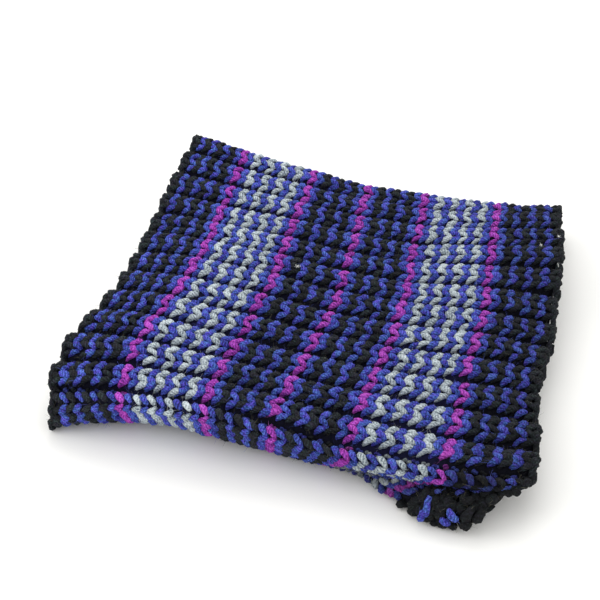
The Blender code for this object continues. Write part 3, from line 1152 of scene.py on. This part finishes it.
@dataclass
class Stitches:
    """All the knitted stitches, in one piece for each yarn and each side of the tube."""

    cloth: Cloth
    unevenness: Unevenness
    materials: dict[Yarn, Material]
    shown: Side = Side("upper", 1, 16, Strand(8, 7), LEGS)
    others: tuple[Side, ...] = (
        Side("under", 17, 26, Strand(6, 5), LEGS),
        Side("furrow", 5, 12, Strand(6, 5), PURLS),
        Side("back", 26, 26, Strand(6, 5), BACK_PURLS),
    )
    jitter: float = 1.2
    headroom: float = 1.0 * MM
    corner_row: int = 46
    corner_ribs: tuple[int, int] = (14, 15)
    corner_jitter: float = 2.0
    corner_lift: float = 2.0 * MM
    corner_bulge: float = 1.2 * MM
    corner_flatness: float = 0.2
    side_seeds: int = 100
    fuzz_seeds: int = 50
    rough_seeds: int = 9
    fuzz: list[Item] = field(default_factory=list)

    def build(self) -> list[Item]:
        """Build the stitches, and the fuzz of those on the upper side.

        Returns:
            The pieces of stitches; the fuzz is kept apart.
        """
        made = []
        for yarn in Yarn:
            look, seed = LOOKS[yarn], list(Yarn).index(yarn)
            works = self.works(self.shown, seed)
            placed, marks = self.upper(replace(works, headroom=self.headroom, trim=look.trim), yarn)
            made.append(self.piece(self.shown, yarn, placed, marks))
            grown = Fuzz(look.fuzz_material(yarn), look.fibres, seed + self.fuzz_seeds)
            self.fuzz.append(grown.build(f"{yarn.value}_fuzz", placed))
        for k, side in enumerate(self.others):
            for seed, yarn in enumerate(Yarn, self.side_seeds * (k + 1)):
                works = self.works(side, seed)
                placed, marks = works.place(self.rows(yarn), range(side.first, side.last + 1), side.paths)
                made.append(self.piece(side, yarn, placed, marks))
        return made

    def rows(self, yarn: Yarn) -> list[int]:
        """List the rows that are knitted in a yarn."""
        return [row for row in range(self.cloth.gauge.courses) if row_yarn(row) is yarn]

    def works(self, side: Side, seed: int) -> StitchField:
        """Set up what lays a side's strands."""
        return StitchField(self.cloth, side.strand, self.unevenness, seed, self.jitter)

    def piece(self, side: Side, yarn: Yarn, placed: Array, marks: Array) -> Item:
        """Join the strands of one yarn on one side."""
        return side.strand.copies(f"{yarn.value}_stitches_{side.name}", placed, marks, self.materials[yarn])

    def upper(self, works: StitchField, yarn: Yarn) -> tuple[Array, ...]:
        """Lay one yarn's stitches over the upper side, with those on the fold and at the corner apart.

        Args:
            works: What lays the strands.
            yarn: The yarn.

        Returns:
            The points of every strand, and a tone and a shade for each.
        """
        fold, rows = self.cloth.lie.fold_rib, self.rows(yarn)
        low, high = self.corner_ribs
        corner = range(low, high + 1)
        plain = [rib for rib in range(self.shown.first, self.shown.last + 1) if rib not in (fold, *corner)]
        parts = [
            works.place(rows, plain, LEGS),
            works.place(rows, [fold], FOLD_LEGS, BACK_LEGS),
            works.place([row for row in rows if row < self.corner_row], corner, LEGS),
        ]
        if yarn is Yarn.BLACK:
            rough = replace(works, jitter=self.corner_jitter, trim=0, seed=works.seed + self.rough_seeds)
            parts.append(rough.place(range(self.corner_row, self.cloth.gauge.courses), corner, BUMPS))
        single = replace(works, trim=0)
        for course, rib, end_course, end_rib, width, shade in CORNER_STITCHES.get(yarn, ()):
            path = Path(
                rib - low, end_rib - low, -0.5, end_course - course - 0.5,
                self.corner_lift, self.corner_lift, self.corner_bulge,
                width=width * MM, height=(width - self.corner_flatness) * MM, shade=shade,
            )
            parts.append(single.place([course], [low], (path,)))
        return tuple(np.concatenate(group) for group in zip(*parts))


@dataclass
class Lint:
    """Flecks of pale lint caught in the knitting: (course, rib, size in mm)."""

    cloth: Cloth
    flecks: Table = (
        (20.75, 6.22, 1.6), (20.9, 6.2, 1.2), (50.5, 3.9, 0.7), (53, 4.38, 0.7), (52.75, 3.26, 0.6),
        (51.5, 13.62, 0.9), (53, 13.74, 0.9),
    )
    lift: float = 2.0 * MM
    seed: int = 5
    grains: int = 24
    spread: float = 0.28
    colour: Row = (0.86, 0.87, 0.84, 1)
    fibres: int = 220
    length: tuple[float, float] = (0.3 * MM, 1.0 * MM)
    width: float = 0.10 * MM

    def build(self) -> Item:
        """Catch the flecks on the cloth.

        Returns:
            The piece.
        """
        rng = np.random.default_rng(self.seed)
        courses, ribs, sizes = np.array(self.flecks).T
        middles = self.cloth.points(courses, ribs, np.full(len(courses), self.lift))
        grains = rng.normal(0, self.spread, (len(courses), self.grains, 3)) * sizes[:, None, None] * MM
        graph = NodeGraph("lint", 0.9, 0.5)
        graph.feed(graph.shader, {"Base Color": self.colour})
        return Fuzz(graph.material, self.fibres, 3, self.length, self.width).build(
            "lint", middles[:, None, :] + grains
        )


@dataclass
class Edges:
    """The bind-off and cast-on edges that run round the open ends."""

    cloth: Cloth
    unevenness: Unevenness
    material: Material
    strand: Strand = Strand(8, 7)
    loops_per_rib: int = 4

    def edge(self, name: str, row: int, loop: Sequence[Path], seed: int) -> Item:
        """Build one edge.

        Args:
            name: The piece's name.
            row: The row that it runs along.
            loop: The strands of one of its loops.
            seed: Start of its random draws.

        Returns:
            The piece.
        """
        starts = [-0.5 + k / self.loops_per_rib for k in range(self.loops_per_rib)]
        paths = [
            replace(path, start_rib=start + path.start_rib, end_rib=start + path.end_rib)
            for start in starts
            for path in loop
        ]
        works = StitchField(self.cloth, self.strand, self.unevenness, seed)
        placed, marks = works.place([row], range(1, self.cloth.gauge.ribs + 1), paths)
        return self.strand.copies(name, placed, marks, self.material)

    def build(self) -> tuple[Item, Item]:
        """Build the bind-off chain and the curled cast-on edge."""
        chain = self.edge("bind_off_chain", 0, BIND_OFF_LOOP, 7)
        return chain, self.edge("cast_on_curl", self.cloth.gauge.courses - 1, CAST_ON_LOOP, 8)


# Colour of the cloth between the stitches, the rows' yarns darkened to near black and navy as painted shade
# of the furrows: the rows that it runs over, and its colour
SHADED_INNER_COLOURS: tuple[tuple[Row, Row], ...] = (
    ((6.5,), (0.006, 0.006, 0.014, 1)),
    ((9, 18.5), (0.01, 0.01, 0.034, 1)),
    ((21, 32.5), (0.006, 0.006, 0.014, 1)),
    ((35, 43), (0.01, 0.01, 0.034, 1)),
    ((45.5,), (0.005, 0.005, 0.009, 1)),
)


@dataclass
class PlainCloth:
    """The thin cloth that the stitches stand on, whose inner face shows in the open ends."""

    cloth: Cloth
    depth: float = 2.0 * MM
    thickness: float = 0.8 * MM
    faces_per_rib: int = 10
    end_inset: float = 0.25
    bars_per_rib: int = 4
    bar_height: float = 0.6
    speck_scale: float = 500.0
    speck_height: float = 0.8
    bump: float = 0.5 * MM

    def build(self) -> Item:
        """Build the tube from a grid, wound round and joined at the back fold.

        Returns:
            The piece.
        """
        gauge = self.cloth.gauge
        work = bmesh.new()
        bmesh.ops.create_grid(
            work, x_segments=gauge.courses, y_segments=gauge.ribs * self.faces_per_rib, size=0.5
        )
        work.verts.index_update()
        grid = np.array([v.co for v in work.verts])
        course = (grid[:, 0] + 0.5) * (gauge.courses - 2 * self.end_inset) + self.end_inset
        rib = self.cloth.lie.back_fold + (grid[:, 1] + 0.5) * gauge.ribs
        layer = work.loops.layers.uv.new("knit")
        for face in work.faces:
            for loop in face.loops:
                k = loop.vert.index
                loop[layer].uv = (course[k], rib[k])
        for vert, point in zip(work.verts, self.cloth.points(course, rib, np.full(len(grid), -self.depth))):
            vert.co = point
        bmesh.ops.remove_doubles(work, verts=work.verts[:], dist=0.01 * MM)
        bmesh.ops.recalc_face_normals(work, faces=work.faces[:])
        mesh = bpy.data.meshes.new("plain_cloth")
        work.to_mesh(mesh)
        work.free()
        mesh.shade_smooth()
        item = show("plain_cloth", mesh, self.material())
        wall = item.modifiers.new("wall", "SOLIDIFY")
        wall.thickness = self.thickness
        wall.offset = -1.0
        log.info("plain_cloth: %d faces before its wall", len(mesh.polygons))
        return item

    def material(self) -> Material:
        """Make the cloth's face: darkened as painted shade of the furrows, in bars of purl bumps.

        Returns:
            The material.
        """
        graph = NodeGraph("inner_cloth_painted_shade", 0.95, 0.1)
        uv = graph.add("ShaderNodeUVMap", uv_map="knit").outputs["UV"]
        split = graph.add("ShaderNodeSeparateXYZ", {0: uv}).outputs
        place = graph.add("ShaderNodeTexCoord").outputs["Object"]
        courses = float(self.cloth.gauge.courses)
        stops = [(row / courses, colour) for rows, colour in SHADED_INNER_COLOURS for row in rows]
        colour = graph.ramp(graph.maths("DIVIDE", split["X"], courses), stops)
        graph.feed(graph.shader, {"Base Color": colour})
        speck = graph.noise(self.speck_scale, 3, place)
        wave = graph.maths("SINE", graph.maths("MULTIPLY", split["X"], TURN))
        bars = graph.maths("SINE", graph.maths("MULTIPLY", split["Y"], TURN * self.bars_per_rib))
        height = graph.maths("ADD", wave, graph.maths("MULTIPLY", bars, self.bar_height))
        height = graph.maths("ADD", height, graph.maths("MULTIPLY", speck, self.speck_height))
        graph.bump(height, self.bump, 0.8)
        return graph.material


@dataclass(frozen=True)
class SoftLight:
    """A square soft light: its power in watts, its side, and where it hangs and points, in metres."""

    name: str
    power: float
    size: float
    place: Row
    aim: Row

    def build(self) -> None:
        """Hang the light."""
        data = bpy.data.lights.new(self.name, "AREA")
        data.energy = self.power
        data.size = self.size
        item = bpy.data.objects.new(self.name, data)
        item.location = self.place
        item.rotation_euler = (Vector(self.aim) - Vector(self.place)).to_track_quat("-Z", "Y").to_euler()
        bpy.context.scene.collection.objects.link(item)


@dataclass(frozen=True)
class Studio:
    """The floor, the lights and the camera, which stands and aims in mm."""

    floor_size: float = 8.0
    floor_colour: Row = (0.93, 0.925, 0.9, 1)
    sky_strength: float = 1.06
    lights: tuple[SoftLight, ...] = (
        SoftLight("back_light", 6, 1, (-0.1, 0.95, 1.2), (0, 0, 0)),
        SoftLight("side_light", 3.6, 0.8, (-0.85, -0.45, 0.8), (-0.05, 0, 0)),
    )
    camera_place: Row = (109.75, -496.9, 393)
    camera_aim: Row = (-14.15, -10.7, 24.75)
    camera_roll: float = 0.31
    lens: float = 69.0
    clip: tuple[float, float] = (0.01, 30)

    def floor(self) -> None:
        """Lay the pale floor."""
        work = bmesh.new()
        bmesh.ops.create_grid(work, x_segments=1, y_segments=1, size=self.floor_size / 2)
        mesh = bpy.data.meshes.new("floor")
        work.to_mesh(mesh)
        work.free()
        graph = NodeGraph("pale_floor", 0.9, 0.1)
        graph.feed(graph.shader, {"Base Color": self.floor_colour})
        show("floor", mesh, graph.material)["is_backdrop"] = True

    def sky(self) -> None:
        """Light the whole scene evenly."""
        world = bpy.data.worlds.new("sky")
        world.use_nodes = True
        back = world.node_tree.nodes["Background"]
        back.inputs["Color"].default_value = (1, 1, 1, 1)
        back.inputs["Strength"].default_value = self.sky_strength
        bpy.context.scene.world = world

    def camera(self) -> None:
        """Set the camera at the photo's angle."""
        place = Vector(self.camera_place) * MM
        aim = Vector(self.camera_aim) * MM
        data = bpy.data.cameras.new("camera")
        data.lens = self.lens
        data.sensor_width = 36.0
        data.clip_start, data.clip_end = self.clip
        item = bpy.data.objects.new("camera", data)
        item.rotation_mode = "QUATERNION"
        roll = Matrix.Rotation(math.radians(self.camera_roll), 3, "Z").to_quaternion()
        item.rotation_quaternion = (aim - place).to_track_quat("-Z", "Y") @ roll
        item.location = place
        bpy.context.scene.collection.objects.link(item)
        bpy.context.scene.camera = item

    def build(self) -> None:
        """Build the floor, the lights and the camera."""
        bpy.context.scene.view_settings.view_transform = "Standard"
        self.floor()
        self.sky()
        for light in self.lights:
            light.build()
        self.camera()


def write_sizes() -> None:
    """Measure the boxes of the CAD and of the visual model; the result is not kept."""
    boxes = {"cad": CAD_BOX, "visual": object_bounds()}
    {name: [[round(v, 6) for v in corner] for corner in box] for name, box in boxes.items()}


def main() -> None:
    """Build the tube and the studio in order."""
    logging.basicConfig(level=logging.INFO, format="%(name)s: %(message)s")
    cloth = Cloth(Gauge(), Lie())
    materials = {yarn: look.material(yarn) for yarn, look in LOOKS.items()}
    plain = PlainCloth(cloth).build()
    unevenness = Unevenness(cloth.gauge.ribs)
    works = Stitches(cloth, unevenness, materials)
    stitches = works.build() + works.fuzz + [Lint(cloth).build()]
    chain, curl = Edges(cloth, unevenness, materials[Yarn.BLACK]).build()
    for piece in (plain, *stitches, chain, curl):
        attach(piece, "root")
    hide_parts("upper_layer", "under_layer")
    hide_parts("cast_on_edge")
    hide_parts("bind_off_edge")
    Studio().build()
    write_sizes()


if __name__ == "__main__":
    main()
